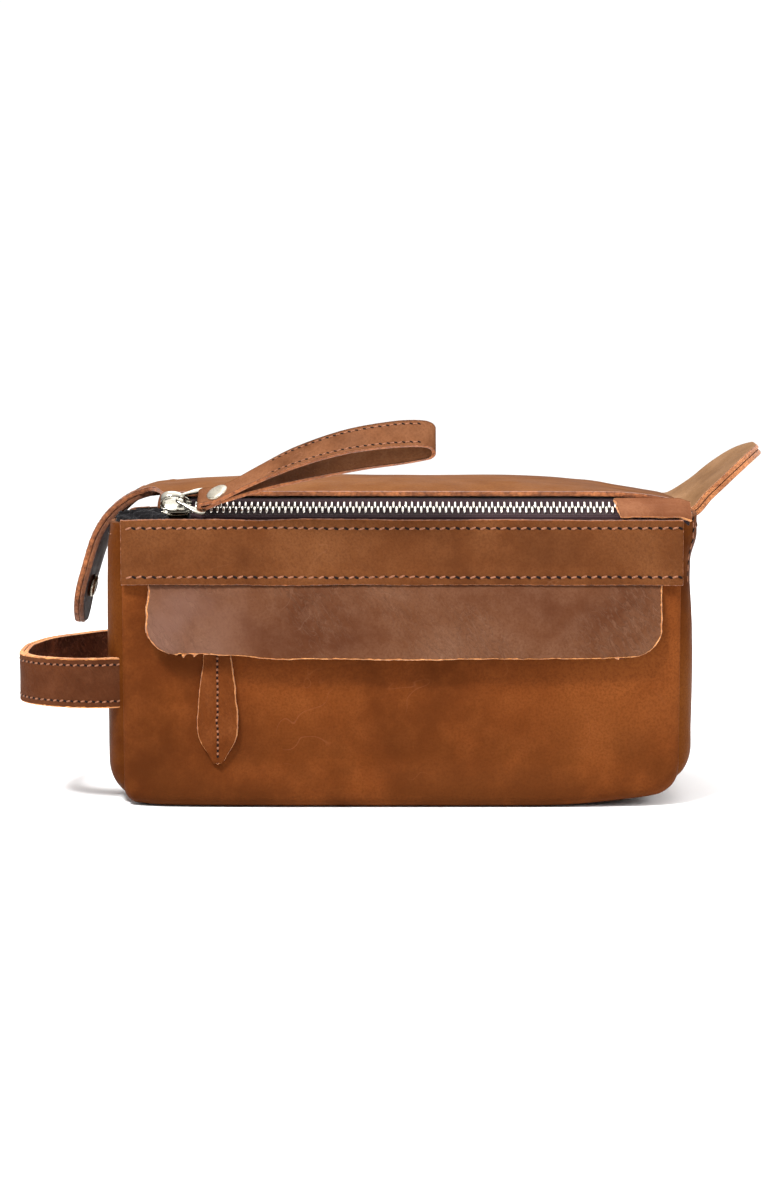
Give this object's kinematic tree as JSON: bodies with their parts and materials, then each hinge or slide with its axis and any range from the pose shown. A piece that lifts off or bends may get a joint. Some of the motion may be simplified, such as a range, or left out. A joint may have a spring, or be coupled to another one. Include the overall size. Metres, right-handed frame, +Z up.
{
  "type": "leather shaving kit bag",
  "caption": "Box-shaped leather toiletry bag with a zipped top, wrist loop, side handle, snap-down end flaps and a covered front zip pocket.",
  "frame": {"origin": "centre of the flat underside of the base panel, on the surface the bag stands on", "axes": "+X along the bag's length, away from the side handle; -Y towards the front pocket; +Z up"},
  "size_m": [0.3534, 0.1478, 0.177],
  "materials": {
    "body_leather": "waxed, matt with light scuffs",
    "flap_leather": "waxed, creased",
    "trim_leather": "waxed, matt",
    "inner_leather": "dark flesh side",
    "lining_cloth": "plain weave",
    "zip_tape": "ribbed tape",
    "zip_metal": "polished nickel",
    "rivet_metal": "satin",
    "snap_metal": "satin"
  },
  "bodies": {
    "bag": {"front_panel": "body_leather", "back_panel": "body_leather", "base_panel": "body_leather", "left_gusset": "body_leather", "right_gusset": "body_leather", "front_band": "body_leather", "body_lining": "lining_cloth", "pocket_pouch": "lining_cloth", "pocket_tape_upper": "zip_tape", "pocket_tape_lower": "zip_tape", "pocket_teeth_upper": "zip_metal", "pocket_teeth_lower": "zip_metal", "pocket_zip_stops": "zip_metal", "zip_front_tape": "zip_tape", "zip_front_teeth": "zip_metal", "zip_end_tab": "body_leather", "snap_studs": "snap_metal", "snap_washers": "snap_metal"},
    "lid": {"lid_panel": "body_leather", "lid_lining": "lining_cloth", "zip_rear_tape": "zip_tape", "zip_rear_teeth": "zip_metal", "zip_tail": "zip_tape"},
    "left_flap": {"left_flap_outer": "body_leather", "left_flap_inner": "inner_leather", "left_snap_socket": "snap_metal"},
    "right_flap": {"right_flap_outer": "body_leather", "right_flap_inner": "inner_leather", "right_snap_socket": "snap_metal"},
    "main_slider": {"zip_slider": "zip_metal"},
    "slider_ring": {"zip_ring": "zip_metal"},
    "wrist_loop": {"wrist_strap": "trim_leather", "strap_rivet": "rivet_metal"},
    "pocket_cover": {"pocket_flap": "flap_leather"},
    "small_slider": {"pocket_slider": "zip_metal"},
    "leaf_puller": {"pocket_leaf": "trim_leather"},
    "side_handle": {"handle_outer": "trim_leather", "handle_inner": "inner_leather"}
  },
  "joints": [
    {"name": "lid_hinge", "type": "hinge", "parent": "bag", "child": "lid", "pos_m": [0, 0.058, 0.1316], "axis": [-1, 0, 0], "range_deg": [0, 95]},
    {"name": "left_flap_bend", "type": "hinge", "parent": "lid", "child": "left_flap", "pos_m": [-0.1188, 0, 0.1468], "axis": [0, 1, 0], "range_deg": [-9, 95]},
    {"name": "right_flap_bend", "type": "hinge", "parent": "lid", "child": "right_flap", "pos_m": [0.1348, 0, 0.138], "axis": [0, 1, 0], "range_deg": [-30, 122]},
    {"name": "main_zip_slide", "type": "slide", "parent": "lid", "child": "main_slider", "axis": [1, 0, 0], "range_m": [0, 0.184], "deforming": ["zip_front_teeth", "zip_rear_teeth", "zip_front_tape", "zip_rear_tape"]},
    {"name": "ring_turn", "type": "hinge", "parent": "main_slider", "child": "slider_ring", "pos_m": [-0.1027, -0.05444, 0.14051], "axis": [0, -0.766, -0.6428], "range_deg": [0, 100]},
    {"name": "wrist_loop_turn", "type": "hinge", "parent": "slider_ring", "child": "wrist_loop", "pos_m": [-0.0915, -0.05534, 0.14158], "axis": [0, -0.766, -0.6428], "range_deg": [-7, 45]},
    {"name": "pocket_flap_bend", "type": "hinge", "parent": "bag", "child": "pocket_cover", "pos_m": [0, -0.0621, 0.1009], "axis": [-1, 0, 0], "range_deg": [0, 115]},
    {"name": "pocket_zip_slide", "type": "slide", "parent": "bag", "child": "small_slider", "axis": [1, 0, 0], "range_m": [0, 0.176], "deforming": ["pocket_teeth_upper", "pocket_teeth_lower", "pocket_tape_upper", "pocket_tape_lower"]},
    {"name": "leaf_swing", "type": "hinge", "parent": "small_slider", "child": "leaf_puller", "pos_m": [-0.0853, -0.05995, 0.088], "axis": [-1, 0, 0], "range_deg": [0, 6]},
    {"name": "side_handle_swing", "type": "hinge", "parent": "bag", "child": "side_handle", "pos_m": [-0.1315, 0, 0.05675], "axis": [0, 1, 0], "range_deg": [-25, 25]}
  ]
}
